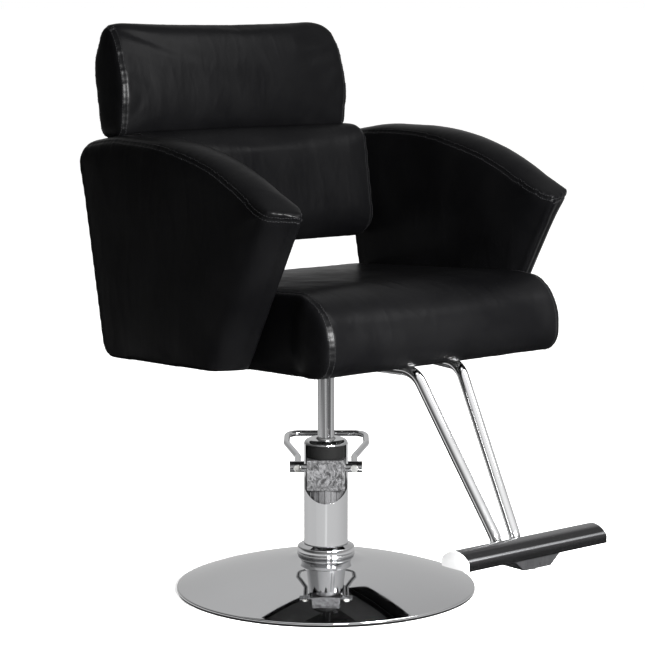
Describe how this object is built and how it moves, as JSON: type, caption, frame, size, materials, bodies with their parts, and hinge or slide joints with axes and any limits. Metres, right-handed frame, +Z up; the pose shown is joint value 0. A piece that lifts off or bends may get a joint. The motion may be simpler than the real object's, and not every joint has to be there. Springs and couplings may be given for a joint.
{
  "type": "styling chair",
  "caption": "Hair salon styling chair: cushioned seat, armrests, back and headrest that swivel and lift on a foot-pumped hydraulic column, with a round base and a footrest.",
  "frame": {"origin": "on the floor, at the middle of the round base", "axes": "+Z up; -Y is the chair's front, the way a seated person faces and the side the footrest is on; +X is towards the left-hand side of a seated person"},
  "size_m": [0.638, 0.8202, 0.9381],
  "materials": {
    "chrome_plate": "polished",
    "black_leatherette": "smooth semi-gloss",
    "black_plastic": "satin",
    "black_rubber": "matt",
    "cast_grey": "fine cast, grey paint",
    "pump_grey": "satin dark grey",
    "machined_steel": "turned",
    "zinc_screws": "zinc plated",
    "bearing_bronze": "machined",
    "plywood": "bare birch plywood",
    "black_board": "plywood painted black",
    "black_steel": "satin powder coat",
    "gloss_bar": "high gloss",
    "satin_silver": "satin"
  },
  "bodies": {
    "base": {"base_cover": "chrome_plate", "floor_ring": "black_rubber", "ballast_plate": "cast_grey", "pump_foot": "cast_grey", "base_bolts": "zinc_screws", "base_collar": "chrome_plate", "column_cover": "chrome_plate", "pump_cylinder": "pump_grey", "pressure_tube": "machined_steel", "foot_valve": "bearing_bronze", "gland_bush": "bearing_bronze", "pump_head": "cast_grey", "pump_cap": "black_plastic", "rod_guide": "bearing_bronze", "rod_wiper": "black_rubber"},
    "lift": {"piston_head": "machined_steel", "piston_seals": "black_rubber", "thrust_washer": "bearing_bronze"},
    "seat": {"piston_rod": "chrome_plate", "seat_bracket": "black_steel", "bracket_bolts": "zinc_screws", "seat_board": "black_board", "seat_rails": "plywood", "seat_cushion": "black_leatherette", "arm_left": "black_leatherette", "arm_right": "black_leatherette", "arm_core_left": "plywood", "arm_core_right": "plywood", "arm_bolts": "zinc_screws", "back_studs": "zinc_screws", "back_cushion": "black_leatherette", "back_board": "plywood", "back_bars": "black_steel", "bar_screws": "zinc_screws", "headrest_cushion": "black_leatherette", "headrest_board": "plywood", "footrest_plate": "black_steel", "footrest_bolts": "zinc_screws", "footrest_tube_left": "chrome_plate", "footrest_tube_right": "chrome_plate", "footrest_bracket": "black_steel", "footrest_bar": "gloss_bar", "end_cap_left": "satin_silver", "end_cap_right": "satin_silver", "footrest_screws": "zinc_screws"},
    "pedal": {"pivot_shafts": "chrome_plate", "pump_yoke": "machined_steel", "pedal_lever": "chrome_plate", "clamp_screws": "zinc_screws"},
    "plunger": {"plunger": "machined_steel", "plunger_spring": "machined_steel"}
  },
  "joints": [
    {"name": "seat_lift", "type": "slide", "parent": "base", "child": "lift", "axis": [0, 0, 1], "range_m": [-0.085, 0.035]},
    {"name": "seat_swivel", "type": "hinge", "parent": "lift", "child": "seat", "pos_m": [0, 0, 0.125], "axis": [0, 0, 1], "continuous": true},
    {"name": "pedal_hinge", "type": "hinge", "parent": "base", "child": "pedal", "pos_m": [0, 0, 0.2077], "axis": [0.766, -0.6428, 0], "range_deg": [-24, 0], "stiffness_Nm_per_rad": 8, "springref_deg": 11.46},
    {"name": "plunger_slide", "type": "slide", "parent": "base", "child": "plunger", "axis": [0, 0, 1], "range_m": [-0.0095, 0], "deforming": ["plunger_spring"]}
  ],
  "couplings": [
    {"joint": "plunger_slide", "follows": "pedal_hinge", "m_per_rad": 0.0225}
  ]
}
